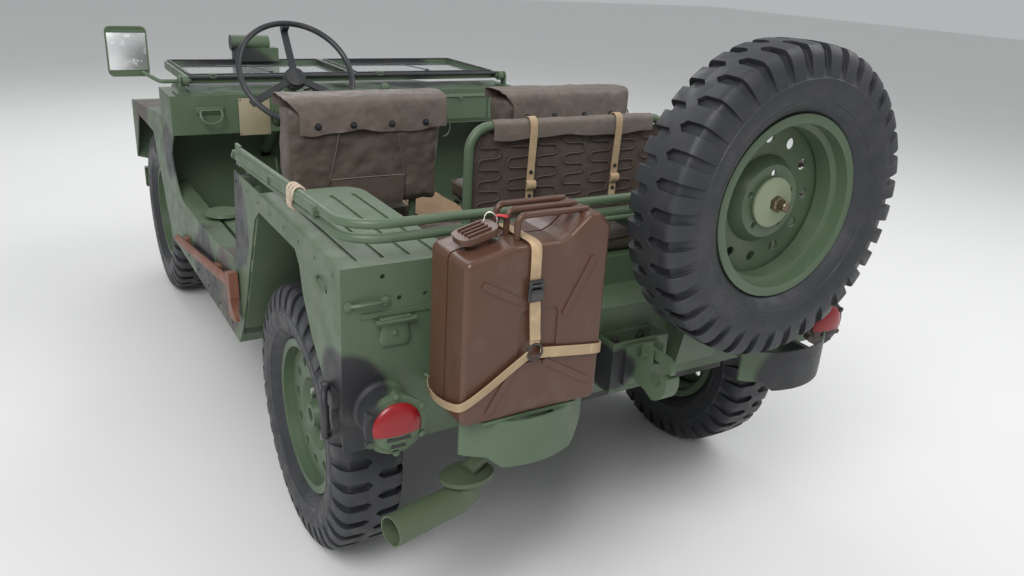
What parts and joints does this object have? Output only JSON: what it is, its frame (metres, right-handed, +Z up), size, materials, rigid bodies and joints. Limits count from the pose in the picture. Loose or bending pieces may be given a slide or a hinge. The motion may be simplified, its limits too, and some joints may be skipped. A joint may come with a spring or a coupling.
{
  "type": "army 4x4 car",
  "caption": "Open-top light military 4x4 car with folded windshield, canvas seats, top bows, spare wheel and fuel can at the tail.",
  "frame": {"origin": "on the ground, on the centre plane, midway between the axles, at the centre of the four tyres' contact patches", "axes": "+Y towards the tail, so the car faces -Y; +X to the car's left; +Z up"},
  "size_m": [1.783, 3.4802, 1.485],
  "materials": {
    "olive_paint": "matt",
    "rim_paint": "matt",
    "tyre_rubber": "matt",
    "underframe_paint": "matt",
    "engine_iron": "rough",
    "canvas": "woven canvas",
    "pane_glass": "clear",
    "lamp_housing": "satin",
    "exhaust_steel": "rusted",
    "latch_steel": "matt",
    "wheel_plastic": "satin",
    "axe_paint": "matt"
  },
  "bodies": {
    "body": {"floor_pan": "olive_paint", "underframe": "underframe_paint", "cowl": "olive_paint", "body_sides": "olive_paint", "rear_panel": "olive_paint", "front_fenders": "olive_paint", "grille_panel": "olive_paint", "bonnet": "olive_paint", "front_bumper": "olive_paint", "front_lamps": "lamp_housing", "driver_seat_frame": "olive_paint", "driver_seat_pads": "canvas", "bench_frame": "olive_paint", "bench_cushion": "canvas", "driver_controls": "olive_paint", "fuel_tank": "olive_paint", "front_suspension": "underframe_paint", "rear_suspension": "underframe_paint", "engine": "engine_iron", "radiator": "engine_iron", "driveline": "underframe_paint", "exhaust": "exhaust_steel", "rear_lamps": "lamp_housing", "bumperettes": "olive_paint", "pintle_hook": "olive_paint", "shackles": "olive_paint", "spare_carrier": "olive_paint", "spare_tyre": "tyre_rubber", "spare_rim": "rim_paint", "can_tray": "olive_paint", "fuel_can": "olive_paint", "bow_brackets": "olive_paint", "mirror": "olive_paint", "axe": "axe_paint"},
    "windshield": {"windshield_frame": "olive_paint", "windshield_glass": "pane_glass"},
    "steering_wheel": {"steering_wheel": "wheel_plastic"},
    "passenger_seat": {"passenger_seat_frame": "olive_paint", "passenger_seat_pads": "canvas"},
    "backrest": {"backrest_frame": "olive_paint", "backrest_canvas": "canvas"},
    "top_bows": {"top_bows": "olive_paint"},
    "pintle_latch": {"pintle_latch": "latch_steel"},
    "front_left_knuckle": {"front_left_knuckle": "underframe_paint"},
    "front_right_knuckle": {"front_right_knuckle": "underframe_paint"},
    "front_left_wheel": {"front_left_rim": "rim_paint", "front_left_tyre": "tyre_rubber"},
    "front_right_wheel": {"front_right_rim": "rim_paint", "front_right_tyre": "tyre_rubber"},
    "rear_left_wheel": {"rear_left_rim": "rim_paint", "rear_left_tyre": "tyre_rubber"},
    "rear_right_wheel": {"rear_right_rim": "rim_paint", "rear_right_tyre": "tyre_rubber"}
  },
  "joints": [
    {"name": "front_left_steer", "type": "hinge", "parent": "body", "child": "front_left_knuckle", "pos_m": [0.59, -1.0795, 0.38], "axis": [0, 0, 1], "range_deg": [-30, 30]},
    {"name": "front_right_steer", "type": "hinge", "parent": "body", "child": "front_right_knuckle", "pos_m": [-0.59, -1.0795, 0.38], "axis": [0, 0, 1], "range_deg": [-30, 30]},
    {"name": "steering_wheel_turn", "type": "hinge", "parent": "body", "child": "steering_wheel", "pos_m": [0.37, -0.12, 1.14], "axis": [0, -0.788, -0.6157], "range_deg": [-540, 540]},
    {"name": "windshield_fold", "type": "hinge", "parent": "body", "child": "windshield", "pos_m": [0, -0.425, 1.095], "axis": [-1, 0, 0], "range_deg": [0, 98]},
    {"name": "passenger_seat_tilt", "type": "hinge", "parent": "body", "child": "passenger_seat", "pos_m": [-0.41, 0.11, 0.506], "axis": [1, 0, 0], "range_deg": [0, 50]},
    {"name": "backrest_fold", "type": "hinge", "parent": "body", "child": "backrest", "pos_m": [-0.1275, 1.06, 0.802], "axis": [1, 0, 0], "range_deg": [0, 84]},
    {"name": "top_bows_raise", "type": "hinge", "parent": "body", "child": "top_bows", "pos_m": [0, 0.625, 1.016], "axis": [1, 0, 0], "range_deg": [0, 80]},
    {"name": "pintle_latch_open", "type": "hinge", "parent": "body", "child": "pintle_latch", "pos_m": [0, 1.67, 0.695], "axis": [1, 0, 0], "range_deg": [0, 60]},
    {"name": "front_left_wheel_spin", "type": "hinge", "parent": "front_left_knuckle", "child": "front_left_wheel", "pos_m": [0.673, -1.0795, 0.38], "axis": [1, 0, 0], "continuous": true},
    {"name": "front_right_wheel_spin", "type": "hinge", "parent": "front_right_knuckle", "child": "front_right_wheel", "pos_m": [-0.673, -1.0795, 0.38], "axis": [1, 0, 0], "continuous": true},
    {"name": "rear_left_wheel_spin", "type": "hinge", "parent": "body", "child": "rear_left_wheel", "pos_m": [0.673, 1.0795, 0.38], "axis": [1, 0, 0], "continuous": true},
    {"name": "rear_right_wheel_spin", "type": "hinge", "parent": "body", "child": "rear_right_wheel", "pos_m": [-0.673, 1.0795, 0.38], "axis": [1, 0, 0], "continuous": true}
  ],
  "couplings": [
    {"joint": "front_right_steer", "follows": "front_left_steer", "ratio": 1},
    {"joint": "steering_wheel_turn", "follows": "front_left_steer", "ratio": -18}
  ]
}
